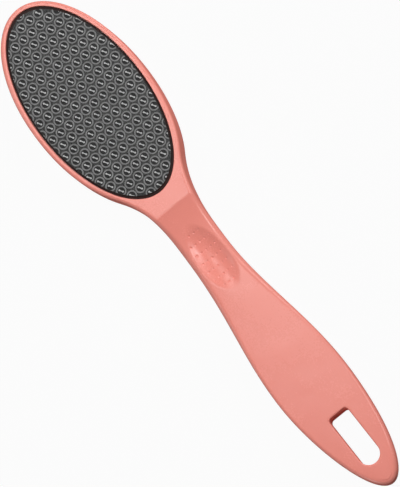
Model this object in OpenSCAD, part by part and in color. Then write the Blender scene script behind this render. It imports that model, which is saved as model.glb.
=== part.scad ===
// Double-sided foot file: a hollow moulded paddle in two halves, with an
// etched metal file plate bonded into an oval recess on each face.
// X runs from the head to the hanging end, Z is up and the coarse side faces up.

/* [Head] */
// Length of the oval head
head_l = 105.8; // [96:0.2:114]
// Width of the oval head
head_w = 56; // [50:0.5:62]
// Fullness of the head's outline, 2 for a plain ellipse
head_fullness = 2.07; // [2:0.01:2.3]
// Thickness of the head, from rim to rim
head_t = 13.5; // [12.5:0.1:16]
// Width of the rim round the recess
rim_w = 2.3; // [2:0.1:4]
// Distance from the middle of the oval to where the shoulder leaves it
shoulder_reach = 41; // [36:0.5:44]
// Distance from the middle of the oval to the top of the neck slope
collar_reach = 59.4; // [56:0.2:64]

/* [Neck and handle] */
// Distance from the middle of the oval to the narrowest place of the neck
neck_reach = 82.5; // [80:0.1:95]
// Width of the neck
neck_w = 19.6; // [17:0.2:24]
// Thickness of the neck
neck_t = 7.2; // [6.6:0.1:9]
// Length of the slope that leads down from the head to the neck
slope_l = 23; // [16:0.5:24]
// Steepness of the slope at its top, in degrees
slope_angle = 15; // [10:1:20]
// Distance from the narrowest place to the widest place of the handle
swell_reach = 75.2; // [58:0.1:84]
// Width of the handle at its widest
handle_w = 34; // [28:0.2:38]
// Thickness of the handle at its widest
handle_t = 8; // [7:0.1:10]
// Length of the rounded end behind the widest place
tail_l = 55.9; // [50:0.1:66]
// Fullness of the rounded end's outline, 2 for a plain ellipse
tail_fullness = 1.8; // [1.7:0.01:2.1]
// Thickness of the handle at its end
tail_t = 6.4; // [6:0.1:8]
// Distance from the middle of the oval to the largest sideways bow of the neck
bow_reach = 50; // [44:1:60]
// Sideways bow of the neck
neck_bow = 0.55; // [-1:0.05:1]
// Sideways bow of the handle
handle_bow = -0.4; // [-1:0.05:1]
// Sideways bow of the handle's end
tail_bow = 0.5; // [-1:0.05:1]
// Radius of the edge round the faces
edge_r = 2; // [1.9:0.05:2.3]
// Radius of the edge at the neck
neck_edge_r = 3.2; // [2:0.1:3.3]
// Radius of the edge at the handle's end
tail_edge_r = 2.6; // [2:0.1:2.8]

/* [Hanging slot] */
// Length of the slot
slot_l = 27.4; // [20:0.2:32]
// Width of the slot
slot_w = 9.9; // [7:0.1:11]
// Distance from the slot to the handle's end
slot_end_gap = 11; // [9:0.5:16]
// Sideways place of the slot
slot_y = 0.3; // [-1:0.1:1]
// Radius of the corners at the slot's square end
slot_corner_r = 1.7; // [1:0.1:3]
// Wall that lines the slot inside the handle
slot_wall = 1.8; // [1.4:0.1:2.5]

/* [Thumb rest] */
// Distance from the middle of the oval to the middle of the thumb rest
rest_reach = 86.5; // [83:0.5:92]
// Length of the thumb rest
rest_l = 31.6; // [24:0.2:34]
// Width of the thumb rest
rest_w = 14.4; // [12:0.2:15]
// Share by which the thumb rest widens towards the hanging end
rest_egg = 0.1; // [0:0.01:0.2]
// Depth of the thumb rest under the neck's face
rest_depth = 2.2; // [1:0.1:2.5]
// Diameter of a grip dimple
dimple_d = 1; // [0.8:0.1:1.6]
// Depth of a grip dimple
dimple_depth = 0.35; // [0.2:0.05:0.5]
// Spacing of the dimples along the handle
dimple_pitch_x = 4.4; // [3.5:0.1:4.6]
// Spacing of the dimples across the handle
dimple_pitch_y = 2.43; // [2:0.01:2.8]
// Columns of dimples on each side of the middle one
dimple_columns = 3; // [1:1:3]
// Rows of dimples on each side of the middle one
dimple_rows = 2; // [1:1:2]
// Sideways place of the middle row of dimples
dimple_y = -0.3; // [-0.6:0.1:0.6]
// Lean of the rows of dimples, in degrees
dimple_lean = 1.8; // [0:0.1:3]

/* [Shells] */
// Wall of the moulded shells
wall = 1.8; // [1.5:0.1:2]
// Thickness of the recess floor
floor_t = 1.8; // [1.5:0.1:2]
// Thickness of a stiffening rib
rib_t = 1.2; // [1:0.1:1.6]
// Spacing of the cross ribs
rib_pitch = 18; // [14:0.5:24]
// Diameter of a locating pin
pin_d = 2.4; // [2:0.1:3]
// Reach of a pin into its socket
pin_reach = 2.2; // [1.6:0.1:2.4]
// Diameter of the boss round a socket
boss_d = 6; // [5.6:0.1:7]

/* [File plates] */
// Thickness of the sheet
plate_t = 0.5; // [0.3:0.05:0.8]
// Height that the teeth stand over the sheet
tooth_h = 0.15; // [0.1:0.01:0.3]
// Height that the teeth stand over the rim
plate_proud = 0.2; // [0:0.05:0.4]
// Gap round the sheet at the ends of the recess
plate_end_gap = 1.6; // [0.6:0.1:2]
// Gap round the sheet at the sides of the recess
plate_side_gap = 1.05; // [0.6:0.05:2]
// Thickness of the stiff backing board
backing_t = 1.5; // [1:0.1:2]
// Thickness of the adhesive pad
adhesive_t = 0.3; // [0.2:0.05:0.5]

/* [Coarse teeth] */
// Radius of a ring tooth along the middle of its line
ring_r = 2; // [1.6:0.05:2.1]
// Width of the ring's line
ring_line = 0.66; // [0.3:0.02:0.7]
// Spacing of the rings across the head
ring_pitch_y = 4.87; // [4.8:0.01:6]
// Spacing of the columns of rings along the head
ring_pitch_x = 4.66; // [4.5:0.01:6]
// Lean of the columns, in degrees
ring_lean = 2.8; // [0:0.1:6]
// Distance between the ends of the bar tooth inside a ring
bar_l = 1.75; // [1.2:0.05:2]
// Width of the bar tooth
bar_w = 0.46; // [0.3:0.02:0.5]
// Radius of the bar's round ends
bar_end_r = 0.45; // [0.3:0.01:0.5]
// Turn of the bar from the long axis, in degrees
bar_turn = 30; // [0:5:90]
// Place along the head of the ring nearest the middle
ring_x = 1.46; // [-2:0.01:2]
// Place across the head of the ring nearest the middle
ring_y = 1.57; // [-2:0.01:2]

/* [Fine teeth] */
// Radius of a fine round tooth
stud_r = 0.75; // [0.5:0.05:1]
// Spacing of the fine teeth in a row
stud_pitch = 3.2; // [3:0.1:4]

/* [Hidden] */
// Clearance of a pin in its socket, all round
pin_clear = 0.05;
// Clearance at the far end of a socket
socket_end_clear = 0.3;
// Clearance between ribs that face each other
rib_clear = 0.1;
// Clearance round a backing board in its recess
backing_clear = 0.25;
// Margin of the adhesive pad inside the sheet's edge
adhesive_margin = 0.8;
// Margin of the fine teeth inside the sheet's edge
stud_margin = 0.6;
// Depth that inner features reach into the walls
root = 0.9;
// Extra length of every cut
overrun = 1;
// Points for each stretch of the outline
oval_steps = 22;
shoulder_steps = 8;
slope_steps = 8;
swell_steps = 12;
tail_steps = 18;
// Points round a quarter of the edge
edge_steps = 4;
// Sides of the oval recess and plates
oval_sides = 120;
// Share of the free room beside the cavity walls where the pins stand
pin_side_share = 0.62;
$fn = 32;

head_a = head_l / 2;
head_b = head_w / 2;
recess_a = head_a - rim_w;
recess_b = head_b - rim_w;
plate_a = recess_a - plate_end_gap;
plate_b = recess_b - plate_side_gap;
total_l = head_l / 2 + neck_reach + swell_reach + tail_l;
head_x = head_a - total_l / 2;
collar_x = head_x + collar_reach;
bow_x = head_x + bow_reach;
neck_x = head_x + neck_reach;
swell_x = neck_x + swell_reach;
end_x = swell_x + tail_l;
half_t = head_t / 2;
mid_z = half_t + plate_proud;
recess_depth = backing_t + adhesive_t + plate_t + tooth_h - plate_proud;
recess_z = half_t - recess_depth;
floor_z = recess_z - floor_t;
slot_end_x = end_x - slot_end_gap;
slot_start_x = slot_end_x - slot_l;
rest_x = head_x + rest_reach;

// Smooth step from 0 to 1
function ease(u) = (1 - cos(180 * min(max(u, 0), 1))) / 2;

// Curve between two heights with a slope at each end
function curve(u, span, h0, s0, h1, s1) =
    h0 * (2 * pow(u, 3) - 3 * pow(u, 2) + 1) + span * s0 * (pow(u, 3) - 2 * pow(u, 2) + u)
    + h1 * (3 * pow(u, 2) - 2 * pow(u, 3)) + span * s1 * (pow(u, 3) - pow(u, 2));

// Share of the full half width at a share of the way to the end of a rounded form
function rounded(u, fullness) = sqrt(max(0, 1 - pow(min(abs(u), 1), fullness)));

shoulder_u = shoulder_reach / head_a;
shoulder_half = head_b * rounded(shoulder_u, head_fullness);
shoulder_slope = -pow(head_b, 2) / shoulder_half * head_fullness / 2
    * pow(shoulder_u, head_fullness - 1) / head_a;
shoulder_x = head_x + shoulder_reach;
shoulder_span = neck_reach - shoulder_reach;

// Half width of the paddle at a place along it
function half_width(x) =
    x < shoulder_x ? head_b * rounded((x - head_x) / head_a, head_fullness)
    : x < neck_x ? curve((x - shoulder_x) / shoulder_span, shoulder_span,
                         shoulder_half, shoulder_slope, neck_w / 2, 0)
    : x < swell_x ? neck_w / 2 + (handle_w - neck_w) / 2 * ease((x - neck_x) / swell_reach)
    : handle_w / 2 * rounded((x - swell_x) / tail_l, tail_fullness);

// Sideways place of the middle line at a place along the paddle
function bow(x) =
    x < bow_x ? neck_bow * pow(ease((x - head_x) / bow_reach), 2)
    : x < swell_x ? neck_bow + (handle_bow - neck_bow) * ease((x - bow_x) / bow_reach)
    : handle_bow + (tail_bow - handle_bow) * ease((x - swell_x) / tail_l);

// Height of the face over the middle plane at a place along the paddle
function face_z(x) =
    x < collar_x ? half_t
    : x < collar_x + slope_l ? curve((x - collar_x) / slope_l, slope_l,
                                     half_t, -tan(slope_angle), neck_t / 2, 0)
    : x < neck_x ? neck_t / 2
    : x < swell_x ? neck_t / 2 + (handle_t - neck_t) / 2 * ease((x - neck_x) / swell_reach)
    : handle_t / 2 + (tail_t - handle_t) / 2 * ease((x - swell_x) / tail_l);

// Radius of the edge at a place along the paddle
function edge_at(x) =
    x < neck_x ? edge_r + (neck_edge_r - edge_r) * ease((x - shoulder_x) / shoulder_span)
    : x < swell_x ? neck_edge_r + (edge_r - neck_edge_r) * ease((x - neck_x) / swell_reach)
    : edge_r + (tail_edge_r - edge_r) * ease((x - swell_x) / tail_l);

// Places along the paddle, from the head's tip to the handle's end
places = concat(
    [for (i = [0 : oval_steps - 1]) head_x - head_a * cos(90 * i / oval_steps)],
    [for (i = [0 : oval_steps / 2 - 1]) head_x + shoulder_reach * sin(90 * i / (oval_steps / 2))],
    [for (i = [0 : shoulder_steps - 1])
        shoulder_x + (collar_x - shoulder_x) * i / shoulder_steps],
    [for (i = [0 : slope_steps - 1]) collar_x + (neck_x - collar_x) * i / slope_steps],
    [for (i = [0 : swell_steps - 1]) neck_x + swell_reach * i / swell_steps],
    [for (i = [0 : tail_steps]) swell_x + tail_l * sin(90 * i / tail_steps)]);
last = len(places) - 1;
ring_n = 2 * last;

// Closed outline, with the tip first and then both sides in turn
outline = concat(
    [for (i = [0 : last])
        [places[i], bow(places[i]) + (i == 0 || i == last ? 0 : half_width(places[i]))]],
    [for (i = [last - 1 : -1 : 1]) [places[i], bow(places[i]) - half_width(places[i])]]);

function unit(v) = v / norm(v);
function turned(v) = [v[1], -v[0]];
inward = [for (i = [0 : ring_n - 1])
    unit(turned(outline[(i + 1) % ring_n] - outline[(i + ring_n - 1) % ring_n]))];

// Outline moved inwards, at a height under the face
function ring_points(inset_by, under_face, share) = [for (i = [0 : ring_n - 1])
    let (
        r = edge_at(outline[i][0]),
        p = outline[i] + inward[i] * (inset_by + share[0] * r))
    [p[0], p[1], face_z(p[0]) - under_face - share[1] * r]];

// Side walls between rings that lie one inside the other
function band_faces(a, b) = [for (i = [0 : ring_n - 1], tri = [0, 1])
    let (j = (i + 1) % ring_n)
    tri == 0 ? [a + i, a + j, b + j] : [a + i, b + j, b + i]];

// Flat strips that close a ring, from the tip to the end
function strip_faces(a) = concat(
    [[a, a + 1, a + ring_n - 1]],
    [for (i = [1 : last - 2]) [a + i, a + i + 1, a + ring_n - i - 1, a + ring_n - i]],
    [[a + last - 1, a + last, a + last + 1]]);

function turned_over(faces) = [for (f = faces) [for (i = [len(f) - 1 : -1 : 0]) f[i]]];

// Half of the paddle above the middle plane, without its hollow
module half_body() {
    rings = concat(
        [[for (p = outline) [p[0], p[1], 0]]],
        [for (k = [0 : edge_steps])
            ring_points(0, 0, [1 - cos(90 * k / edge_steps), 1 - sin(90 * k / edge_steps)])]);
    points = [for (r = rings) each r];
    top = (len(rings) - 1) * ring_n;
    polyhedron(points, concat(
        [for (k = [0 : len(rings) - 2]) each band_faces(k * ring_n, (k + 1) * ring_n)],
        strip_faces(top),
        turned_over(strip_faces(0))));
}

// Hollow inside one half
module half_hollow() {
    base = [for (i = [0 : ring_n - 1]) let (p = outline[i] + inward[i] * wall) [p[0], p[1], -overrun]];
    points = concat(base, ring_points(wall, wall, [0, 0]));
    polyhedron(points, concat(
        band_faces(0, ring_n),
        strip_faces(ring_n),
        turned_over(strip_faces(0))));
}

module oval_plan(a, b) {
    polygon([for (i = [0 : oval_sides - 1])
        [a * cos(360 * i / oval_sides), b * sin(360 * i / oval_sides)]]);
}

module oval(a, b, h) {
    linear_extrude(h) oval_plan(a, b);
}

// Plan of the hanging slot, grown by a wall
module slot_plan(grow) {
    w = slot_w / 2 + grow;
    r = slot_corner_r + grow;
    x0 = slot_start_x - grow;
    x1 = slot_end_x - slot_w / 2;
    translate([0, slot_y]) {
        translate([x1, 0]) circle(w, $fn = 48);
        translate([x0 + r, -w]) square([x1 - x0 - r, 2 * w]);
        translate([x0, r - w]) square([r + root, 2 * (w - r)]);
        for (s = [-1, 1]) translate([x0 + r, s * (w - r)]) circle(r);
    }
}

// Hollowed oval that the thumb rests in, cut out of the neck's face
module thumb_rest() {
    levels = 5;
    sides = 40;
    points = [for (k = [0 : levels], i = [0 : sides - 1])
        let (
            share = k == 0 ? 1 : cos(90 * (k - 1) / levels),
            along = share * cos(360 * i / sides),
            x = rest_x + rest_l / 2 * along,
            y = rest_w / 2 * (1 + rest_egg * along) * share * sin(360 * i / sides),
            drop = k == 0 ? -overrun : rest_depth * (1 - pow(share, 2)))
        [x, y, face_z(x) - drop]];
    lowest = [[rest_x, 0, face_z(rest_x) - rest_depth]];
    inner = levels * sides;
    half = sides / 2;
    polyhedron(concat(points, lowest), concat(
        [for (k = [0 : levels - 1], i = [0 : sides - 1], tri = [0, 1])
            let (j = (i + 1) % sides, c = k * sides, d = c + sides)
            tri == 0 ? [c + i, c + j, d + j] : [c + i, d + j, d + i]],
        [for (i = [0 : sides - 1]) [inner + i, inner + (i + 1) % sides, inner + sides]],
        [[0, sides - 1, 1]],
        [for (i = [1 : half - 2]) [i, sides - i, sides - i - 1, i + 1]],
        [[half - 1, half + 1, half]]));
}

// Small dimples in the thumb rest, in rows that lean a little
module dimples() {
    for (i = [-dimple_columns : dimple_columns], j = [-dimple_rows : dimple_rows]) {
        x = dimple_pitch_x * i;
        y = dimple_y + dimple_pitch_y * j - x * tan(dimple_lean);
        along = x / (rest_l / 2);
        across = y / (rest_w / 2 * (1 + rest_egg * along));
        drop = rest_depth * (1 - pow(along, 2) - pow(across, 2)) + dimple_depth;
        if (abs(i) + abs(j) < dimple_columns + dimple_rows)
            translate([rest_x + x, y, face_z(rest_x + x) - drop])
                cylinder(h = drop + overrun, d = dimple_d, $fn = 16);
    }
}

// Solid part of the neck under the thumb rest
module neck_core() {
    translate([rest_x - rest_l / 2 - wall, -neck_w, rib_clear])
        cube([rest_l + 2 * wall, 2 * neck_w, half_t]);
}

// Places of the pins: in the head, the slope and the handle
head_pin_x = recess_a * pin_side_share;
head_pin_y = recess_b * pin_side_share;
pin_places = [
    [head_x - head_pin_x, 0],
    [head_x, head_pin_y],
    [head_x, -head_pin_y],
    [head_x + head_pin_x, 0],
    [(collar_x + rest_x - rest_l / 2) / 2, 0],
    [(neck_x + swell_x) / 2, 0],
    [slot_start_x - slot_wall - boss_d, 0]];

module bosses() {
    for (p = pin_places) translate([p[0], p[1], 0])
        cylinder(h = (abs(p[0] - head_x) < recess_a ? recess_z : face_z(p[0])) - root, d = boss_d);
}

// Cross ribs that stiffen the hollow
rib_first = -floor(head_a / rib_pitch);
rib_last = floor((slot_start_x - head_x) / rib_pitch) - 1;
module ribs() {
    for (i = [rib_first : rib_last]) {
        x = head_x + rib_pitch * (i + 1 / 2);
        low = abs(x - head_x) < recess_a;
        w = half_width(x) - root;
        h = (low ? recess_z : min(face_z(x), face_z(x + rib_t))) - root;
        translate([x, bow(x) - w, rib_clear]) cube([rib_t, 2 * w, h - rib_clear]);
    }
    translate([head_x - head_a + root, -rib_t / 2, rib_clear])
        cube([collar_reach + head_a - root, rib_t, floor_z - rib_clear + root]);
    translate([collar_x - overrun, -rib_t / 2, rib_clear])
        cube([slot_start_x - collar_x + overrun, rib_t, neck_t / 2 - root - rib_clear]);
}

// One moulded half, over the middle plane
module half_shell() {
    difference() {
        union() {
            difference() {
                half_body();
                difference() {
                    half_hollow();
                    neck_core();
                }
            }
            translate([head_x, 0, floor_z]) oval(head_a - root, head_b - root, floor_t + root);
            linear_extrude(tail_t / 2 - root) slot_plan(slot_wall);
            bosses();
            ribs();
        }
        translate([head_x, 0, recess_z]) oval(recess_a, recess_b, recess_depth + overrun);
        translate([0, 0, -overrun]) linear_extrude(handle_t + overrun) slot_plan(0);
        thumb_rest();
        dimples();
    }
}

module front_shell() {
    color([0.925, 0.6, 0.56])
    translate([0, 0, mid_z])
    difference() {
        half_shell();
        for (p = pin_places) translate([p[0], p[1], -overrun])
            cylinder(h = pin_reach + socket_end_clear + overrun, d = pin_d + 2 * pin_clear);
    }
}

module rear_shell() {
    color([0.925, 0.6, 0.56])
    translate([0, 0, mid_z])
    union() {
        mirror([0, 0, 1]) half_shell();
        for (p = pin_places) translate([p[0], p[1], -root]) cylinder(h = pin_reach + root, d = pin_d);
    }
}

module backing() {
    translate([head_x, 0, recess_z]) oval(recess_a - backing_clear, recess_b - backing_clear, backing_t);
}

module adhesive() {
    translate([head_x, 0, recess_z + backing_t])
        oval(plate_a - adhesive_margin, plate_b - adhesive_margin, adhesive_t);
}

module sheet() {
    translate([head_x, 0, recess_z + backing_t + adhesive_t]) oval(plate_a, plate_b, plate_t);
}

module ring_tooth() {
    difference() {
        circle(ring_r + ring_line / 2);
        circle(ring_r - ring_line / 2);
    }
    rotate(bar_turn) {
        translate([-bar_l / 2, -bar_w / 2]) square([bar_l, bar_w]);
        for (s = [-1, 1]) translate([s * bar_l / 2, 0]) circle(bar_end_r, $fn = 16);
    }
}

module ring_teeth() {
    columns = ceil(plate_a / ring_pitch_x) + 1;
    rows = ceil(plate_b / ring_pitch_y) + 1;
    intersection() {
        oval_plan(plate_a, plate_b);
        for (i = [-columns : columns], j = [-rows : rows]) {
            step = ring_pitch_y * (j + abs(i % 2) / 2);
            x = ring_x + ring_pitch_x * i - step * sin(ring_lean);
            y = ring_y + step * cos(ring_lean);
            reach = ring_r + ring_line / 2;
            if (pow(x / (plate_a + reach), 2) + pow(y / (plate_b + reach), 2) < 1)
                translate([x, y]) ring_tooth();
        }
    }
}

module coarse_backing() {
    color([0.12, 0.11, 0.11]) translate([0, 0, mid_z]) backing();
}

module coarse_adhesive() {
    color([0.85, 0.85, 0.82]) translate([0, 0, mid_z]) adhesive();
}

module coarse_plate() {
    color([0.36, 0.36, 0.36])
    translate([0, 0, mid_z])
    union() {
        sheet();
        translate([head_x, 0, recess_z + backing_t + adhesive_t + plate_t / 2])
            linear_extrude(tooth_h + plate_t / 2) ring_teeth();
    }
}

module fine_backing() {
    color([0.12, 0.11, 0.11]) translate([0, 0, mid_z]) mirror([0, 0, 1]) backing();
}

module fine_adhesive() {
    color([0.85, 0.85, 0.82]) translate([0, 0, mid_z]) mirror([0, 0, 1]) adhesive();
}

module fine_studs() {
    a = plate_a - stud_margin - stud_r;
    b = plate_b - stud_margin - stud_r;
    row_pitch = stud_pitch * sin(60);
    rows = ceil(b / row_pitch);
    columns = ceil(a / stud_pitch);
    for (j = [-rows : rows], i = [-columns : columns]) {
        x = stud_pitch * (i + abs(j % 2) / 2);
        y = row_pitch * j;
        if (pow(x / a, 2) + pow(y / b, 2) < 1) translate([x, y]) circle(stud_r, $fn = 16);
    }
}

module fine_plate() {
    color([0.42, 0.42, 0.42])
    translate([0, 0, mid_z]) mirror([0, 0, 1])
    union() {
        sheet();
        translate([head_x, 0, recess_z + backing_t + adhesive_t + plate_t / 2])
            linear_extrude(tooth_h + plate_t / 2) fine_studs();
    }
}

front_shell();
rear_shell();
coarse_backing();
coarse_adhesive();
coarse_plate();
fine_backing();
fine_adhesive();
fine_plate();
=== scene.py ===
# %% [markdown]
# # A double-sided foot file
#
# The part comes packed as solids: two moulded half shells, and on each side a backing board, an
# adhesive pad and an etched steel sheet. This lesson loads them as a fixed frame and dresses them.
# Hidden solids that already have the right shape keep it and get a finish. The shells and the two
# sheets are modelled again with smooth edges, rounded rims and fine teeth, in the same places.

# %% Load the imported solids
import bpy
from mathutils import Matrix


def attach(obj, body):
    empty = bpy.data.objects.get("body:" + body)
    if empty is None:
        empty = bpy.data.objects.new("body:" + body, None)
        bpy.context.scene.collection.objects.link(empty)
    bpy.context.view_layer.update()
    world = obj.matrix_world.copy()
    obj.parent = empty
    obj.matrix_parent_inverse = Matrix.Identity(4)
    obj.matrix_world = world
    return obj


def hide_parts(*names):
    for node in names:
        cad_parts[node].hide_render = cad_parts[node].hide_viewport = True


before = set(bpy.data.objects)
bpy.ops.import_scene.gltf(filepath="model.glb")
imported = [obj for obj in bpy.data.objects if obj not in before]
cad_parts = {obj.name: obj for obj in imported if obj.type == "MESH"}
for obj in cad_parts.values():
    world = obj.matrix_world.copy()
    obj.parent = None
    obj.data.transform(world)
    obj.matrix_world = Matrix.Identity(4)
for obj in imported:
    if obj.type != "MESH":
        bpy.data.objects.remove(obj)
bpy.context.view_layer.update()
print("solids:", sorted(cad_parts))

# %% Tools used below
from math import asin, ceil, cos, pi, radians, sin, sqrt, tan

import bmesh
import bpy
from mathutils import Matrix, Vector

MM = 0.001
scene = bpy.context.scene

# %% [markdown]
# ## The outline of the paddle
#
# The real handle is one flowing line: an oval head, a shoulder, a slim neck, a swell for the palm
# and a rounded end. A traced spline would also do. Rules for the half width, the face's height and
# the edge's radius at each place are used here, the same ones that the solids follow, because then
# both halves, the rim and the hanging slot all agree. All sizes in these cells are millimetres.

# %% Sizes of the paddle
# A and B are an oval's half length and half width, and a fullness of 2 is that of a true ellipse.
# W is a width, T a thickness, L a length and R a radius. X, Y and Z are places.
HEAD_A, HEAD_B, HEAD_FULLNESS, HEAD_X = 52.9, 28.0, 2.07, -80.35
SHOULDER_REACH, BOW_REACH, NECK_REACH = 41.0, 50.0, 82.5
NECK_W, HANDLE_W, SWELL_REACH, TAIL_L, TAIL_FULLNESS = 19.6, 34.0, 75.2, 55.9, 1.8
HALF_T, NECK_T, HANDLE_T, TAIL_T = 6.75, 7.2, 8.0, 6.4
COLLAR_X, SLOPE_L, SLOPE_ANGLE = -20.95, 23.0, 15.0
EDGE_R, NECK_EDGE_R, TAIL_EDGE_R = 1.3, 3.0, 1.9
NECK_BOW, HANDLE_BOW, TAIL_BOW = 0.55, -0.4, 0.5
MID_Z = 6.95
SHOULDER_X = HEAD_X + SHOULDER_REACH
BOW_X = HEAD_X + BOW_REACH
NECK_X = HEAD_X + NECK_REACH
SWELL_X = NECK_X + SWELL_REACH
END_X = SWELL_X + TAIL_L

# %% Rules for the outline


def ease(u):
    return (1 - cos(pi * min(max(u, 0), 1))) / 2


def curve(u, span, h0, s0, h1, s1):
    return (h0 * (2 * u**3 - 3 * u**2 + 1) + span * s0 * (u**3 - 2 * u**2 + u)
            + h1 * (3 * u**2 - 2 * u**3) + span * s1 * (u**3 - u**2))


def rounded(u, fullness):
    return sqrt(max(0, 1 - min(abs(u), 1) ** fullness))


def half_width(x):
    if x < SHOULDER_X:
        return HEAD_B * rounded((x - HEAD_X) / HEAD_A, HEAD_FULLNESS)
    if x < NECK_X:
        u = SHOULDER_REACH / HEAD_A
        half = HEAD_B * rounded(u, HEAD_FULLNESS)
        slope = -HEAD_B**2 / half * HEAD_FULLNESS / 2 * u ** (HEAD_FULLNESS - 1) / HEAD_A
        span = NECK_X - SHOULDER_X
        return curve((x - SHOULDER_X) / span, span, half, slope, NECK_W / 2, 0)
    if x < SWELL_X:
        return NECK_W / 2 + (HANDLE_W - NECK_W) / 2 * ease((x - NECK_X) / SWELL_REACH)
    return HANDLE_W / 2 * rounded((x - SWELL_X) / TAIL_L, TAIL_FULLNESS)


def middle_line(x):
    if x < BOW_X:
        return NECK_BOW * ease((x - HEAD_X) / BOW_REACH) ** 2
    if x < SWELL_X:
        return NECK_BOW + (HANDLE_BOW - NECK_BOW) * ease((x - BOW_X) / BOW_REACH)
    return HANDLE_BOW + (TAIL_BOW - HANDLE_BOW) * ease((x - SWELL_X) / TAIL_L)


def face_height(x):
    if x < COLLAR_X:
        return HALF_T
    if x < COLLAR_X + SLOPE_L:
        u = (x - COLLAR_X) / SLOPE_L
        return curve(u, SLOPE_L, HALF_T, -tan(radians(SLOPE_ANGLE)), NECK_T / 2, 0)
    if x < SWELL_X:
        return NECK_T / 2 + (HANDLE_T - NECK_T) / 2 * ease((x - NECK_X) / SWELL_REACH)
    return HANDLE_T / 2 + (TAIL_T - HANDLE_T) / 2 * min(1, (x - SWELL_X) / TAIL_L) ** 3


def edge_radius(x):
    if x < NECK_X:
        share = ease((x - SHOULDER_X) / (NECK_X - SHOULDER_X))
        return EDGE_R + (NECK_EDGE_R - EDGE_R) * share
    if x < SWELL_X:
        return NECK_EDGE_R + (EDGE_R - NECK_EDGE_R) * ease((x - NECK_X) / SWELL_REACH)
    return EDGE_R + (TAIL_EDGE_R - EDGE_R) * ease((x - SWELL_X) / TAIL_L)


print("half widths:", [round(half_width(x), 2) for x in (HEAD_X, NECK_X, SWELL_X)])

# %% [markdown]
# ## Places along the paddle
#
# The mesh is one run of cross rungs from the tip to the hanging end. Where the form turns quickly,
# at both rounded ends, at the crease under the collar and on the thumb rest, the rungs stand close
# together. Down the middle runs a spine. It opens into the recess in the head and again into the
# hanging slot, so both openings are part of the mesh, and no cutting is needed afterwards.

# %% Rungs and spine
RECESS_A, RECESS_B, RECESS_Z, RECESS_RIM_R = 50.6, 25.7, 4.5, 0.22
SLOT_START, SLOT_END, SLOT_W, SLOT_CORNER_R, SLOT_Y, SLOT_RIM_R = 94.85, 122.25, 9.9, 1.7, 0.3, 0.6
REST_X, REST_A, REST_B, REST_EGG, REST_DEPTH = 6.15, 15.8, 7.2, 0.1, 2.2
# How many rungs the parts get, or how far apart they stand there.
HEAD_STEPS, COLLAR_STEPS, END_STEPS, COLLAR_POWER = 72, 13, 24, 1.5
SLOPE_STEP, REST_STEP, HANDLE_STEP, REST_MARGIN = 0.45, 0.25, 1.2, 1.0
SLOT_STEPS = (4, 6, 24, 14)
# The rungs that end at the slot, and how gently the spine comes up to it.
SLOT_FROM, SLOT_TO, SLOT_EASE = 91.6, 125.2, 7.5
SPINE_EASE, SPINE_TIP, TIP_GAP = 5.0, 4.0, 2.0


def evenly(start, end, count):
    return [start + (end - start) * i / count for i in range(count)]


def spaced(start, end, step):
    return evenly(start, end, ceil((end - start) / step))


def slot_side(grow):
    """One side of the hanging slot, from the middle of its square end to its round end."""
    wall, corner, side, turn = SLOT_STEPS
    half, r = SLOT_W / 2, SLOT_CORNER_R
    corner_x, turn_x = SLOT_START + r, SLOT_END - half
    path = [(SLOT_START - grow, (half - r) * i / wall) for i in range(wall)]
    path += [(corner_x - (r + grow) * cos(pi / 2 * i / corner),
              half - r + (r + grow) * sin(pi / 2 * i / corner)) for i in range(corner)]
    path += [(corner_x + (turn_x - corner_x) * i / side, half + grow) for i in range(side)]
    path += [(turn_x + (half + grow) * sin(pi / 2 * i / turn),
              (half + grow) * cos(pi / 2 * i / turn)) for i in range(turn + 1)]
    return path


def rung_places():
    """Where the rungs stand along the paddle, and the first and the last rung at the slot."""
    wall, corner, side, turn = SLOT_STEPS
    oval_end = HEAD_X + HEAD_A
    rest_start, rest_end = REST_X - REST_A - REST_MARGIN, REST_X + REST_A + REST_MARGIN
    corner_x, turn_x = SLOT_START + SLOT_CORNER_R, SLOT_END - SLOT_W / 2
    places = [HEAD_X - HEAD_A * cos(pi * i / HEAD_STEPS) for i in range(HEAD_STEPS)]
    places += [oval_end + (COLLAR_X - oval_end) * (i / COLLAR_STEPS) ** COLLAR_POWER
               for i in range(COLLAR_STEPS)]
    places += spaced(COLLAR_X, rest_start, SLOPE_STEP)
    places += spaced(rest_start, rest_end, REST_STEP)
    places += spaced(rest_end, SLOT_FROM, HANDLE_STEP)
    slot_from = len(places)
    places += evenly(SLOT_FROM, corner_x, wall + corner)
    places += evenly(corner_x, turn_x, side)
    places += evenly(turn_x, SLOT_TO, turn)
    slot_to = len(places)
    places += [END_X - (END_X - SLOT_TO) * (1 - i / END_STEPS) ** 2 for i in range(END_STEPS + 1)]
    return places, slot_from, slot_to


PLACES, SLOT_FIRST, SLOT_LAST = rung_places()
LAST = len(PLACES) - 1
print("rungs:", len(PLACES), "slot rungs:", SLOT_FIRST, "to", SLOT_LAST)

# %% Outline points and the way inwards
upper = [Vector((x, middle_line(x) + (half_width(x) if 0 < i < LAST else 0)))
         for i, x in enumerate(PLACES)]
lower = [Vector((x, middle_line(x) - half_width(x))) for x in PLACES[1:LAST]]
OUTLINE = upper + lower[::-1]
INWARD = []
for i in range(len(OUTLINE)):
    along = OUTLINE[(i + 1) % len(OUTLINE)] - OUTLINE[i - 1]
    INWARD.append(Vector((along.y, -along.x)).normalized())


def outline_ring(inset, under_face=None, height=None):
    """The outline moved inwards, at a height or at a depth under the face."""
    ring = []
    for point, inward in zip(OUTLINE, INWARD):
        r = edge_radius(point.x)
        p = point + inward * inset(r)
        z = face_height(p.x) - under_face(r) if height is None else height
        ring.append(Vector((p.x, p.y, z)))
    return ring


print("outline points:", len(OUTLINE))

# %% The inner end of each rung


def oval_side(grow, i):
    """A point of the recess, grown by a margin, for a rung of the head."""
    turn = pi * i / HEAD_STEPS
    return HEAD_X - (RECESS_A + grow) * cos(turn), (RECESS_B + grow) * sin(turn)


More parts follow.
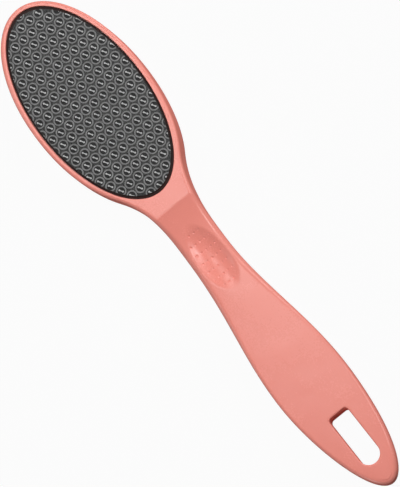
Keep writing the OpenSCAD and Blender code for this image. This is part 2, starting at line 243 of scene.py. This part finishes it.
def before_slot(x, open_recess, recess_grow, slot_grow):
    """A place on the spine between the recess, or the tip, and the slot."""
    if open_recess:
        near = ease((x - PLACES[HEAD_STEPS]) / SPINE_EASE)
        px = x - (PLACES[HEAD_STEPS] - HEAD_X - RECESS_A - recess_grow) * (1 - near)
        middle = middle_line(x) * near
    else:
        tip = OUTLINE[0].x + SPINE_TIP
        px = tip + (x - PLACES[0]) * (SLOT_FROM - tip) / (SLOT_FROM - PLACES[0])
        middle = middle_line(x)
    close = ease((x - SLOT_FROM) / SLOT_EASE + 1)
    px += (SLOT_START - slot_grow - SLOT_FROM) * close
    return px, middle + (SLOT_Y - middle) * close


def behind_slot(i, slot_grow):
    """A place on the spine between the slot and the hanging end."""
    share = (i - SLOT_LAST) / END_STEPS
    start_x, end_x = SLOT_END + slot_grow, END_X - TAIL_EDGE_R - TIP_GAP
    return start_x + (end_x - start_x) * share, SLOT_Y + (middle_line(END_X) - SLOT_Y) * share


def spine_ring(open_recess, recess_grow, slot_grow):
    """The inner end of each rung: spine, recess or slot, in the order of the outline."""
    slot = slot_side(slot_grow)
    inner = []
    for i, x in enumerate(PLACES):
        if open_recess and i <= HEAD_STEPS:
            px, half = oval_side(recess_grow, i)
            inner.append((px, 0, half))
        elif i < SLOT_FIRST:
            inner.append((*before_slot(x, open_recess, recess_grow, slot_grow), 0))
        elif i <= SLOT_LAST:
            px, half = slot[i - SLOT_FIRST]
            inner.append((px, SLOT_Y, half))
        else:
            inner.append((*behind_slot(i, slot_grow), 0))
    ring = [Vector((px, middle + half, 0)) for px, middle, half in inner]
    ring += [Vector((px, middle - half, 0)) for px, middle, half in inner[LAST - 1:0:-1]]
    return ring


# %% [markdown]
# ## Growing a mesh ring by ring
#
# A moulded shell can be cut from a block with booleans, sculpted, or grown. Growing suits a form
# with one continuous edge: a ring is extruded, its new points are moved to their places, and the
# new ring is extruded again. The faces stay even, so light runs smoothly over the edges.

# %% Helpers for rings


def ring_edges(bm, ring):
    return [bm.edges.get(pair) for pair in zip(ring, ring[1:] + ring[:1])]


def grow_ring(bm, ring, places):
    """Extrude a ring once and move the new points to their places."""
    made = bmesh.ops.extrude_edge_only(bm, edges=ring_edges(bm, ring))["geom"]
    fresh = {item for item in made if isinstance(item, bmesh.types.BMVert)}
    after = []
    for vert, place in zip(ring, places):
        new = next(e.other_vert(vert) for e in vert.link_edges if e.other_vert(vert) in fresh)
        new.co = place
        after.append(new)
    return after


def start_ring(bm, places):
    """A ring of edges with its points at the given places."""
    ring = list(bmesh.ops.create_circle(bm, segments=len(places), radius=1)["verts"])
    for vert, place in zip(ring, places):
        vert.co = place
    return ring


def close_ring(bm, ring):
    bmesh.ops.contextual_create(bm, geom=ring_edges(bm, ring))


def both_sides(ring, first, last):
    """A loop out of a ring that goes round the outline: along one side and back along the other."""
    return [ring[i] for i in range(first, last + 1)] + [ring[-i] for i in range(last - 1, first, -1)]


def quarter_turn(steps, first=0):
    """The sine and cosine at each step of a quarter turn."""
    return [(sin(pi / 2 * k / steps), cos(pi / 2 * k / steps)) for k in range(first, steps + 1)]


def as_mesh(bm, name):
    mesh = bpy.data.meshes.new(name)
    bm.to_mesh(mesh)
    bm.free()
    return mesh


def as_piece(bm, name, sharp):
    """Turn a finished bmesh in millimetres into an object in metres, smooth but for sharp edges."""
    bmesh.ops.recalc_face_normals(bm, faces=bm.faces[:])
    for face in bm.faces:
        face.smooth = True
    for edge in bm.edges:
        if len(edge.link_faces) == 2 and edge.calc_face_angle(0) > radians(sharp):
            edge.smooth = False
    bmesh.ops.scale(bm, vec=(MM, MM, MM), verts=bm.verts[:])
    mesh = as_mesh(bm, name)
    piece = bpy.data.objects.new(name, mesh)
    scene.collection.objects.link(piece)
    print(name, "faces:", len(mesh.polygons))
    return piece


# %% [markdown]
# ## The thumb rest and its dimples
#
# Where the thumb presses, the neck is hollowed out like a shallow spoon, a little wider towards the
# handle, with small grip dimples in rows that lean a little. All of it could be faked in the
# finish, but here it is real form: each point of the face is lowered by the hollow and again where
# a dimple is, and the hollow's rim is softened.

# %% Height of the face at any point
DIMPLE_X, DIMPLE_Y, DIMPLE_R, DIMPLE_DEPTH = 4.4, 2.43, 0.62, 0.35
DIMPLE_COLUMNS, DIMPLE_ROWS = 3, 2
DIMPLE_SHIFT, DIMPLE_LEAN = -0.3, 1.8
REST_REACH, REST_BLEND = 1.5, 0.5
CROWN = 0.22


def dimple(dx, y):
    """Depth of the dimples at a place measured from the rest's middle. Its corners have none."""
    column = round(dx / DIMPLE_X)
    dy = y - DIMPLE_SHIFT + column * DIMPLE_X * tan(radians(DIMPLE_LEAN))
    row = round(dy / DIMPLE_Y)
    if abs(column) > DIMPLE_COLUMNS or abs(row) > DIMPLE_ROWS:
        return 0
    if abs(column) + abs(row) >= DIMPLE_COLUMNS + DIMPLE_ROWS:
        return 0
    away = Vector((dx - column * DIMPLE_X, dy - row * DIMPLE_Y)).length / DIMPLE_R
    return DIMPLE_DEPTH * (1 + cos(pi * away)) / 2 if away < 1 else 0


def with_rest(x, y, body):
    """The height of a point of the face, with the thumb rest hollowed into it."""
    along = (x - REST_X) / REST_A
    across = y / (REST_B * (1 + REST_EGG * along))
    reach = along**2 + across**2
    if reach > REST_REACH:
        return body
    rest = face_height(x) - REST_DEPTH * (1 - reach)
    gap = abs(rest - body)
    low = min(rest, body) - (max(0, REST_BLEND - gap) ** 2) / (4 * REST_BLEND)
    return low - dimple(x - REST_X, y)


def crown(x, y):
    """The faint arch of the handle's face from side to side."""
    half = half_width(x) - edge_radius(x)
    across = min(1, abs(y - middle_line(x)) / half) if half > 0 else 1
    return CROWN * (1 - across**2) * ease((x - COLLAR_X) / SLOPE_L)


# %% [markdown]
# ## The half shells
#
# Each half is an injection moulding: a side wall with a little draft, a rounded edge, the face with
# its thumb rest, a recess with a softened rim for the file sheet, and the slot for hanging. The two
# halves meet at the middle plane, where a fine groove shows the weld line. The rest of the face is
# nearly flat, and falls a little towards the hanging end.

# %% From the parting line to the face
GROOVE, DRAFT, EDGE_STEPS, COLUMNS = 0.12, 0.03, 9, 28


def grow_outside(bm, base):
    """The side wall with its draft, the rounded edge and the face with the thumb rest."""
    ring = grow_ring(bm, base, outline_ring(lambda r: 0, height=GROOVE))
    for sine, cosine in quarter_turn(EDGE_STEPS):
        ring = grow_ring(bm, ring, outline_ring(lambda r: DRAFT + r * (1 - cosine),
                                                lambda r: r * (1 - sine)))
    start = [vert.co.copy() for vert in ring]
    end = spine_ring(True, RECESS_RIM_R, SLOT_RIM_R)
    for k in range(1, COLUMNS + 1):
        places = [a.lerp(b, k / COLUMNS) for a, b in zip(start, end)]
        for place in places:
            place.z = face_height(place.x) + crown(place.x, place.y)
        ring = grow_ring(bm, ring, places)
    for vert in bm.verts:
        if vert.co.z > GROOVE:
            vert.co.z = with_rest(vert.co.x, vert.co.y, vert.co.z)
    return ring


def close_middle(bm, face, under):
    """Join the two sides of the face along its spine, and those of the parting face."""
    spine = [*range(HEAD_STEPS, SLOT_FIRST + 1), *range(SLOT_LAST, LAST)]
    below = [*range(1, SLOT_FIRST + 1), *range(SLOT_LAST, LAST)]
    weld = {face[-i]: face[i] for i in spine}
    weld.update({under[-i]: under[i] for i in below})
    bmesh.ops.weld_verts(bm, targetmap=weld)


# %% The recess and the slot
RIM_STEPS, SLOT_RIM_STEPS, FLOOR_INSET = 4, 5, 3.6


def line_recess(bm, ring):
    """The rounded rim of the recess, its wall and its floor."""
    turns = [*range(HEAD_STEPS + 1), *range(1 - HEAD_STEPS, 0)]

    def oval_ring(grow, z):
        return [Vector((*oval_side(grow, i), z)) for i in turns]

    for sine, cosine in quarter_turn(RIM_STEPS, 1):
        ring = grow_ring(bm, ring, oval_ring(RECESS_RIM_R * (1 - sine),
                                             HALF_T - RECESS_RIM_R * (1 - cosine)))
    ring = grow_ring(bm, ring, oval_ring(0, RECESS_Z))
    ring = grow_ring(bm, ring, oval_ring(-FLOOR_INSET, RECESS_Z))
    close_ring(bm, ring)


def line_slot(bm, ring, mouth):
    """The rounded rim of the slot, and its wall down to its mouth in the parting face."""
    def slot_ring(grow, depth):
        side = slot_side(grow)
        points = side + [(px, -py) for px, py in side[-2:0:-1]]
        return [Vector((px, SLOT_Y + py, face_height(px) + crown(px, py) - depth))
                for px, py in points]

    for sine, cosine in quarter_turn(SLOT_RIM_STEPS, 1):
        ring = grow_ring(bm, ring, slot_ring(SLOT_RIM_R * (1 - sine), SLOT_RIM_R * (1 - cosine)))
    ring = grow_ring(bm, ring, [vert.co for vert in mouth])
    bmesh.ops.weld_verts(bm, targetmap=dict(zip(ring, mouth)))


# %% Both halves
SIDE_FINISH, STEEP_SHARE, SHELL_SHARP = 1, 0.5, 35


def half_shell():
    """One half, upper side up, with its parting face at height zero."""
    bm = bmesh.new()
    base = start_ring(bm, outline_ring(lambda r: GROOVE, height=0))
    face = grow_outside(bm, base)
    under = grow_ring(bm, base, spine_ring(False, 0, 0))
    close_middle(bm, face, under)
    line_recess(bm, both_sides(face, 0, HEAD_STEPS))
    line_slot(bm, both_sides(face, SLOT_FIRST, SLOT_LAST),
              both_sides(under, SLOT_FIRST, SLOT_LAST))
    return bm


def place_half(bm, name, upside_down):
    """Put a half in its place, and give its steep faces the finish of the sides."""
    if upside_down:
        bmesh.ops.scale(bm, vec=(1, 1, -1), verts=bm.verts[:])
    bmesh.ops.translate(bm, vec=(0, 0, MID_Z), verts=bm.verts[:])
    print(name, "open edges:", sum(1 for e in bm.edges if len(e.link_faces) != 2))
    bmesh.ops.recalc_face_normals(bm, faces=bm.faces[:])
    for face in bm.faces:
        if abs(face.normal.z) < STEEP_SHARE:
            face.material_index = SIDE_FINISH
    return as_piece(bm, name, SHELL_SHARP)


front = place_half(half_shell(), "front_paddle_half", False)
rear = place_half(half_shell(), "rear_paddle_half", True)

# %% [markdown]
# ## The coarse sheet
#
# The working side is a thin steel sheet. Etching eats the metal away around a resist, and leaves
# rings that each hold a short bar with two round ends, on a disc that is darker than the ground
# between the rings. One tooth is modelled and copied to every place of the pattern, where a printed
# picture of it would look flat. A tooth on the edge is cut off there, as the blank is cut to its oval.

# %% The blank of a sheet
BOARD_T, PAD_T = 1.5, 0.3
SHEET_A, SHEET_B, SHEET_T, SHEET_Z = 49.0, 24.65, 0.5, MID_Z + RECESS_Z + BOARD_T + PAD_T
SHEET_SIDES, SHEET_EDGE, SHEET_FOOT, SHEET_SHARP = 144, 0.08, 0.02, 30


def sheet_ring(grow, z):
    turns = [2 * pi * i / SHEET_SIDES for i in range(SHEET_SIDES)]
    return [Vector((HEAD_X + (SHEET_A + grow) * cos(turn), (SHEET_B + grow) * sin(turn), z))
            for turn in turns]


def sheet_blank():
    """The oval sheet with a softened upper edge."""
    bm = bmesh.new()
    top = SHEET_Z + SHEET_T
    ring = start_ring(bm, sheet_ring(-SHEET_FOOT, SHEET_Z))
    close_ring(bm, ring)
    for grow, z in ((0, SHEET_Z + SHEET_FOOT), (0, top - SHEET_EDGE),
                    (-SHEET_EDGE / 3, top - SHEET_EDGE / 3), (-SHEET_EDGE, top)):
        ring = grow_ring(bm, ring, sheet_ring(grow, z))
    close_ring(bm, ring)
    return bm


# %% One coarse tooth
RING_R, RING_LINE, RING_X, RING_Y = 2.0, 0.66, 1.46, 1.57
RING_PITCH_X, RING_PITCH_Y, RING_LEAN = 4.66, 4.87, 2.8
BAR_L, BAR_W, BAR_END_R, BAR_TURN, BAR_END_SIDES = 1.75, 0.46, 0.45, 30.0, 6
TOOTH_H, TOOTH_ROOT, TOOTH_TAPER, TOOTH_SIDES, PIT_H = 0.15, 0.05, 0.05, 20, 0.02
TOOTH_TOP = TOOTH_H + TOOTH_ROOT
GROUND, RING, BAR, PIT = 0, 1, 2, 3


def circle(r, z, sides):
    turns = [2 * pi * i / sides for i in range(sides)]
    return [Vector((r * cos(turn), r * sin(turn), z)) for turn in turns]


def bar_ring(shrink, z):
    """The outline of the bar: a waist between two round ends."""
    waist, bulge = BAR_W / 2 - shrink, BAR_END_R - shrink
    widest = pi - asin(waist / bulge)
    turns = [widest * (2 * k / BAR_END_SIDES - 1) for k in range(BAR_END_SIDES + 1)]
    side = [Vector((BAR_L / 2 + bulge * cos(turn), bulge * sin(turn))) for turn in turns]
    turned = Matrix.Rotation(radians(BAR_TURN), 2)
    return [Vector((*(turned @ point), z)) for point in side + [-point for point in side]]


def pillar(bm, foot, top):
    """A closed form between two rings of places."""
    ring = start_ring(bm, foot)
    close_ring(bm, ring)
    close_ring(bm, grow_ring(bm, ring, top))


def mark(bm, finish_number):
    """Give the faces that still have the ground's finish another one."""
    for face in bm.faces:
        if face.material_index == GROUND:
            face.material_index = finish_number


def ring_tooth():
    """A ring, the dark disc in it and the bar on that, with their foot at height zero."""
    bm = bmesh.new()
    outer, inner = RING_R + RING_LINE / 2, RING_R - RING_LINE / 2
    pit = inner + TOOTH_TAPER
    first = start_ring(bm, circle(outer, 0, TOOTH_SIDES))
    ring = first
    for r, z in ((outer - TOOTH_TAPER, TOOTH_TOP), (pit, TOOTH_TOP), (inner, 0)):
        ring = grow_ring(bm, ring, circle(r, z, TOOTH_SIDES))
    bmesh.ops.bridge_loops(bm, edges=ring_edges(bm, ring) + ring_edges(bm, first))
    mark(bm, RING)
    pillar(bm, circle(pit, 0, TOOTH_SIDES), circle(pit, TOOTH_ROOT + PIT_H, TOOTH_SIDES))
    mark(bm, PIT)
    pillar(bm, bar_ring(0, 0), bar_ring(TOOTH_TAPER, TOOTH_TOP))
    mark(bm, BAR)
    bmesh.ops.recalc_face_normals(bm, faces=bm.faces[:])
    return as_mesh(bm, "ring_tooth")


# %% Cutting a tooth at the edge of the sheet
CUT_INSET, CUT_SNAP = 0.1, 0.0001
MIDDLE_SHARE = 0.1  # a tooth this near the middle never comes to the edge


def cut_at_edge(bm, x, y, reach):
    """Cut off what passes the sheet's edge, where a tooth of this reach comes so far."""
    edge_a, edge_b = SHEET_A - CUT_INSET, SHEET_B - CUT_INSET
    outside = sqrt((x / edge_a) ** 2 + (y / edge_b) ** 2)
    if outside <= MIDDLE_SHARE:
        return
    outward = Vector((x / edge_a**2, y / edge_b**2, 0)).normalized()
    on_edge = Vector((x / outside, y / outside, 0))
    if (on_edge - Vector((x, y, 0))).dot(outward) >= reach:
        return
    made = bmesh.ops.bisect_plane(bm, geom=bm.verts[:] + bm.edges[:] + bm.faces[:], dist=CUT_SNAP,
                                  plane_co=on_edge + Vector((HEAD_X, 0, 0)), plane_no=outward,
                                  clear_outer=True)
    rim = [e for e in made["geom_cut"] if isinstance(e, bmesh.types.BMEdge) and e.is_boundary]
    if rim:
        bmesh.ops.edgeloop_fill(bm, edges=rim)


def add_tooth(bm, tooth, x, y, reach=None):
    """Copy a tooth to its place on the sheet. With a reach given, cut it at the sheet's edge.

    Faces that have no finish yet, such as the cut, get that of the rings.
    """
    one = bmesh.new()
    one.from_mesh(tooth)
    bmesh.ops.translate(one, vec=(HEAD_X + x, y, SHEET_Z + SHEET_T - TOOTH_ROOT), verts=one.verts[:])
    if reach:
        cut_at_edge(one, x, y, reach)
    mark(one, RING)
    copy = as_mesh(one, "tooth_copy")
    bm.from_mesh(copy)
    bpy.data.meshes.remove(copy)


# %% The coarse sheet
RING_LEAST = 1.0  # of a ring at the edge, at least this much lies on the sheet


def coarse_sheet():
    """The blank with a ring tooth at every place of the pattern."""
    bm = sheet_blank()
    tooth = ring_tooth()
    reach = RING_R + RING_LINE / 2
    edge_a, edge_b = SHEET_A + reach - RING_LEAST, SHEET_B + reach - RING_LEAST
    columns, rows = ceil(SHEET_A / RING_PITCH_X) + 1, ceil(SHEET_B / RING_PITCH_Y) + 1
    count = 0
    for i in range(-columns, columns + 1):
        for j in range(-rows, rows + 1):
            step = RING_PITCH_Y * (j + (i % 2) / 2)
            x = RING_X + RING_PITCH_X * i - step * sin(radians(RING_LEAN))
            y = RING_Y + step * cos(radians(RING_LEAN))
            if (x / edge_a) ** 2 + (y / edge_b) ** 2 < 1:
                add_tooth(bm, tooth, x, y, reach)
                count += 1
    print("ring teeth:", count)
    bpy.data.meshes.remove(tooth)
    return as_piece(bm, "coarse_file_sheet", SHEET_SHARP)


coarse = coarse_sheet()

# %% [markdown]
# ## The fine sheet
#
# The back carries the same kind of sheet with small round teeth, for smoothing after the coarse
# side. The photograph doesn't show it, so it gets the plain round teeth that such a side has.

# %% The fine sheet on the rear side
STUD_R, STUD_PITCH, STUD_MARGIN, STUD_SIDES = 0.75, 3.2, 0.6, 12


def stud_tooth():
    bm = bmesh.new()
    pillar(bm, circle(STUD_R, 0, STUD_SIDES), circle(STUD_R - TOOTH_TAPER, TOOTH_TOP, STUD_SIDES))
    bmesh.ops.recalc_face_normals(bm, faces=bm.faces[:])
    return as_mesh(bm, "stud_tooth")


def fine_sheet():
    """The blank with round teeth in a pattern of triangles, turned over to the rear side."""
    bm = sheet_blank()
    tooth = stud_tooth()
    a, b = SHEET_A - STUD_MARGIN - STUD_R, SHEET_B - STUD_MARGIN - STUD_R
    row_pitch = STUD_PITCH * sin(radians(60))
    columns, rows = ceil(a / STUD_PITCH), ceil(b / row_pitch)
    count = 0
    for j in range(-rows, rows + 1):
        for i in range(-columns, columns + 1):
            x, y = STUD_PITCH * (i + (j % 2) / 2), row_pitch * j
            if (x / a) ** 2 + (y / b) ** 2 < 1:
                add_tooth(bm, tooth, x, y)
                count += 1
    print("round teeth:", count)
    bpy.data.meshes.remove(tooth)
    bmesh.ops.translate(bm, vec=(0, 0, -MID_Z), verts=bm.verts[:])
    bmesh.ops.scale(bm, vec=(1, 1, -1), verts=bm.verts[:])
    bmesh.ops.translate(bm, vec=(0, 0, MID_Z), verts=bm.verts[:])
    return as_piece(bm, "fine_file_sheet", SHEET_SHARP)


fine = fine_sheet()

# %% [markdown]
# ## Finishes
#
# Each finish is built from noise on the object's own coordinates. Large soft noise gives moulded
# plastic its faint flow marks and sink marks, fine noise the satin grain of the mould, and the same
# noise shifts the gloss a little. The mould's polish only reaches the faces, so the side walls and
# the walls of the slot and the recess stay matte. Etched steel is dark and grainy. Only the teeth
# are bare metal: the rings are dull, and the bars, which do the work, are bright. So the coarse
# sheet has four finishes: ground, rings, bars and the darker discs inside the rings.

# %% Helpers for finishes
NOISE_DETAIL, NOISE_LOW, NOISE_HIGH = 2.0, 0.3, 0.7


def noise(tree, place, scale):
    node = tree.nodes.new("ShaderNodeTexNoise")
    node.inputs["Scale"].default_value = scale
    node.inputs["Detail"].default_value = NOISE_DETAIL
    tree.links.new(place, node.inputs["Vector"])
    return node.outputs["Fac"]


def blended(tree, first, second, share):
    """Two noises in one. The share is that of the second."""
    node = tree.nodes.new("ShaderNodeMix")
    node.inputs["Factor"].default_value = share
    tree.links.new(first, node.inputs["A"])
    tree.links.new(second, node.inputs["B"])
    return node.outputs["Result"]


def coloured(tree, value, low, high):
    """Turn a noise into a colour between two."""
    node = tree.nodes.new("ShaderNodeValToRGB")
    stops = zip(node.color_ramp.elements, (NOISE_LOW, NOISE_HIGH), (low, high))
    for stop, position, shade in stops:
        stop.position = position
        stop.color = (*shade, 1)
    tree.links.new(value, node.inputs["Fac"])
    return node.outputs["Color"]


def roughened(tree, value, rough):
    """Turn a noise into a roughness between two."""
    node = tree.nodes.new("ShaderNodeMapRange")
    for socket, number in zip(("From Min", "From Max", "To Min", "To Max"),
                              (NOISE_LOW, NOISE_HIGH, *rough)):
        node.inputs[socket].default_value = number
    tree.links.new(value, node.inputs["Value"])
    return node.outputs["Result"]


def bumped(tree, layers, target):
    """Lay bumps over each other. A depth of zero leaves its layer out."""
    for height, depth in layers:
        if depth:
            node = tree.nodes.new("ShaderNodeBump")
            node.inputs["Distance"].default_value = depth * MM
            tree.links.new(height, node.inputs["Height"])
            if target.is_linked:
                tree.links.new(target.links[0].from_socket, node.inputs["Normal"])
            tree.links.new(node.outputs["Normal"], target)


# %% One finish


def finish(name, low, high, cloud, grain, grain_depth, rough, cloud_depth=0.0, metallic=0.0,
           specular=0.5, grain_share=0.5):
    """A material with a clouded colour, a fine grain and a gloss that varies with both.

    Cloud and grain are the scales of the two noises, and their depths are in millimetres.
    """
    material = bpy.data.materials.new(name)
    material.use_nodes = True
    tree = material.node_tree
    shader = tree.nodes["Principled BSDF"]
    shader.inputs["Metallic"].default_value = metallic
    shader.inputs["Specular IOR Level"].default_value = specular
    place = tree.nodes.new("ShaderNodeTexCoord").outputs["Object"]
    clouds, grains = noise(tree, place, cloud), noise(tree, place, grain)
    both = blended(tree, clouds, grains, grain_share)
    tree.links.new(coloured(tree, both, low, high), shader.inputs["Base Color"])
    tree.links.new(roughened(tree, both, rough), shader.inputs["Roughness"])
    bumped(tree, ((clouds, cloud_depth), (grains, grain_depth)), shader.inputs["Normal"])
    return material


# %% The finishes
SALMON = (0.85, 0.262, 0.208), (0.88, 0.277, 0.222)


def greys(*levels):
    return [(level, level, level) for level in levels]


plastic = finish("satin_salmon_plastic", *SALMON, cloud=55.0, grain=1400.0, grain_depth=0.008,
                 cloud_depth=0.2, rough=(0.24, 0.3), specular=0.35, grain_share=0.4)
sides = finish("matte_salmon_sides", *SALMON, cloud=55.0, grain=1400.0, grain_depth=0.008,
               rough=(0.6, 0.7), specular=0.0, grain_share=0.4)
etched = finish("grey_etched_steel", *greys(0.006, 0.095), cloud=300.0, grain=2600.0,
                grain_depth=0.03, rough=(0.5, 0.65), specular=0.1, grain_share=0.9)
pitted = finish("dark_etched_pit", *greys(0.01, 0.036), cloud=300.0, grain=2600.0,
                grain_depth=0.03, rough=(0.5, 0.65), specular=0.1, grain_share=0.75)
ring_steel = finish("dull_ring_steel", *greys(0.085, 0.22), cloud=400.0, grain=3000.0,
                    grain_depth=0.01, rough=(0.4, 0.5), metallic=0.25, specular=0.2,
                    grain_share=0.6)
bar_steel = finish("bright_bar_steel", *greys(0.26, 0.48), cloud=400.0, grain=3000.0,
                   grain_depth=0.01, rough=(0.35, 0.5), metallic=0.25, specular=0.2,
                   grain_share=0.6)
# The backing board is black. Its edge lines the groove round each sheet, so that dark is partly the
# board's own colour and partly painted shade of the groove.
board_and_groove_shade = finish("black_board_and_groove_shade", (0.012, 0.004, 0.003), (0.025, 0.008, 0.006), cloud=200.0,
               grain=2000.0, grain_depth=0.02, rough=(0.6, 0.75), specular=0.2)
glue = finish("pale_adhesive_pad", (0.62, 0.62, 0.56), (0.76, 0.75, 0.70), cloud=250.0,
              grain=1800.0, grain_depth=0.02, rough=(0.55, 0.7))
finishes = (plastic, sides, etched, pitted, ring_steel, bar_steel, board_and_groove_shade, glue)
print("finishes:", [material.name for material in finishes])

# %% Give every piece its finish
for piece, materials, slot, node in (
        (front, (plastic, sides), "shell", "front_shell"),
        (rear, (plastic, sides), "shell", "rear_shell"),
        (coarse, (etched, ring_steel, bar_steel, pitted), "coarse_steel", "coarse_plate"),
        (fine, (etched, ring_steel), "fine_steel", "fine_plate")):
    for material in materials:
        piece.data.materials.append(material)
    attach(piece, "root")
    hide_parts(node)
for node, material in (("coarse_backing", board_and_groove_shade), ("fine_backing", board_and_groove_shade),
                       ("coarse_adhesive", glue), ("fine_adhesive", glue)):
    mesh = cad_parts[node].data
    if not mesh.materials:
        mesh.materials.append(material)
    for index in range(len(mesh.materials)):
        mesh.materials[index] = material
print("finished pieces: 4 new, 4 from the solids")

# %% [markdown]
# ## The camera
#
# The photograph was taken from far away, almost without perspective, a little from the hanging end
# and a little from the right. The camera stands where the outline, the recess and the slot of the
# solids fall on those of the photograph. A short lens close by would swell the near end. So the
# camera stands seven metres off with a long lens, which keeps the view flat.

# %% Camera at the photograph's angle
PITCH, ROLL, TURN = radians(13.27), radians(3.545), radians(51.682)
CENTRE_PX, PX_PER_MM, DISTANCE = (204.242, 246.068), 2.318, 7.0
IMAGE, SENSOR_MM = (400, 487), 36
towards = Vector((sin(PITCH), sin(ROLL) * cos(PITCH), cos(PITCH) * cos(ROLL))).normalized()
along = (Vector((1, 0, 0)) - towards * towards.x).normalized()
across = towards.cross(along)
right = along * cos(TURN) + across * sin(TURN)
up = across * cos(TURN) - along * sin(TURN)
off_x = CENTRE_PX[0] - (IMAGE[0] - 1) / 2
off_y = CENTRE_PX[1] - (IMAGE[1] - 1) / 2
eye = (Vector((0, 0, MID_Z * MM)) + towards * DISTANCE
       - right * off_x / PX_PER_MM * MM + up * off_y / PX_PER_MM * MM)
camera_data = bpy.data.cameras.new("camera")
camera_data.sensor_width = SENSOR_MM
camera_data.lens = SENSOR_MM * DISTANCE / (IMAGE[1] / PX_PER_MM * MM)
camera = bpy.data.objects.new("camera", camera_data)
camera.matrix_world = Matrix((
    (right.x, up.x, towards.x, eye.x), (right.y, up.y, towards.y, eye.y),
    (right.z, up.z, towards.z, eye.z), (0, 0, 0, 1)))
scene.collection.objects.link(camera)
scene.camera = camera
print("lens:", round(camera_data.lens), "camera at:", [round(v, 2) for v in eye])

# %% [markdown]
# ## Floor and light
#
# The file lies on a white table. The flat faces carry a soft sheen that fades towards the hanging
# end, and the slope under the collar has none: a lamp high over the head end makes it. The right
# edge carries a light line and the left edge is darker, so the strongest light comes from the
# right, from one lamp halfway up and one low down. Four weaker ones, halfway up over both ends and
# low down on the left, keep the other edges from going black. The camera sees the table and the
# world as plain white, and so do rays that come by way of a glossy or a clear surface. All other
# light only meets the table's own grey and a dark world, so the white adds nothing to the colours.

# %% White for the background


def math_node(tree, operation, first, second):
    """Join two values in one operation. The second may be a plain number."""
    node = tree.nodes.new("ShaderNodeMath")
    node.operation = operation
    tree.links.new(first, node.inputs[0])
    if isinstance(second, float):
        node.inputs[1].default_value = second
    else:
        tree.links.new(second, node.inputs[1])
    return node.outputs[0]


def show_white(tree, plain, white, output, most):
    """Show white to the camera and in mirrors and glass, and the plain look to all other light."""
    ray = tree.nodes.new("ShaderNodeLightPath").outputs
    mirrored = math_node(tree, "MAXIMUM", ray["Is Glossy Ray"], ray["Is Transmission Ray"])
    seen = math_node(tree, "MAXIMUM", ray["Is Camera Ray"], mirrored)
    mix = tree.nodes.new("ShaderNodeMixShader")
    tree.links.new(math_node(tree, "MULTIPLY", seen, most), mix.inputs["Fac"])
    tree.links.new(plain, mix.inputs[1])
    tree.links.new(white, mix.inputs[2])
    tree.links.new(mix.outputs["Shader"], output)


# %% Floor
FLOOR_SIZE, FLOOR_GREY, FLOOR_ROUGH, FLOOR_WHITE, FLOOR_GAP = 2.0, 0.25, 0.9, 0.96, 0.00005
bm = bmesh.new()
bmesh.ops.create_grid(bm, x_segments=1, y_segments=1, size=FLOOR_SIZE)
bmesh.ops.translate(bm, vec=(0, 0, -FLOOR_GAP), verts=bm.verts[:])
floor = bpy.data.objects.new("white_table", as_mesh(bm, "white_table"))
scene.collection.objects.link(floor)

# %% Finish of the floor
table_top = bpy.data.materials.new("white_table_top")
table_top.use_nodes = True
nodes = table_top.node_tree.nodes
shader = nodes["Principled BSDF"]
shader.inputs["Base Color"].default_value = (FLOOR_GREY, FLOOR_GREY, FLOOR_GREY, 1)
shader.inputs["Roughness"].default_value = FLOOR_ROUGH
shader.inputs["Specular IOR Level"].default_value = 0.0
glow = nodes.new("ShaderNodeEmission")
glow.inputs["Color"].default_value = (1, 1, 1, 1)
show_white(table_top.node_tree, shader.outputs["BSDF"], glow.outputs["Emission"],
           nodes["Material Output"].inputs["Surface"], FLOOR_WHITE)
floor.data.materials.append(table_top)
print("floor:", floor.name, "square of", 2 * FLOOR_SIZE, "m")

# %% World
world = bpy.data.worlds.new("studio")
scene.world = world
world.use_nodes = True
nodes = world.node_tree.nodes
dark = nodes["Background"]
dark.inputs["Strength"].default_value = 0.0
white = nodes.new("ShaderNodeBackground")
white.inputs["Color"].default_value = (1, 1, 1, 1)
white.inputs["Strength"].default_value = 1.0
show_white(world.node_tree, dark.outputs["Background"], white.outputs["Background"],
           nodes["World Output"].inputs["Surface"], 1.0)

# %% Lamps
LAMP_W, LAMP_AWAY, LAMP_SIZE = 13.55, 1.2, 0.36
HIGH_AWAY, HIGH_SIZE = 1.3, 0.3


def lamp(name, azimuth, elevation, level, distance=LAMP_AWAY, size=LAMP_SIZE):
    """A square soft lamp that looks at the middle of the file. Azimuth 0 is the hanging end."""
    data = bpy.data.lights.new(name, "AREA")
    data.shape = "SQUARE"
    data.size = size
    data.energy = LAMP_W * level * (distance / LAMP_AWAY) ** 2
    light = bpy.data.objects.new(name, data)
    a, e = radians(azimuth), radians(elevation)
    way = Vector((cos(a) * cos(e), sin(a) * cos(e), sin(e)))
    light.location = Vector((0, 0, MID_Z * MM)) + way * distance
    light.rotation_euler = way.to_track_quat("Z", "Y").to_euler()
    scene.collection.objects.link(light)
    print(name, "watts:", round(data.energy, 2))


lamp("high_lamp", 180, 73, 0.165, HIGH_AWAY, HIGH_SIZE)
for name, azimuth, elevation, level in (
        ("right_lamp", 90, 50, 0.41), ("head_lamp", 180, 50, 0.2), ("end_lamp", 0, 50, 0.05),
        ("low_right_lamp", 120, 25, 0.36), ("low_left_lamp", 300, 25, 0.18),
        ("low_head_lamp", 240, 25, 0.17)):
    lamp(name, azimuth, elevation, level)

# %% View settings
scene.view_settings.view_transform = "Standard"
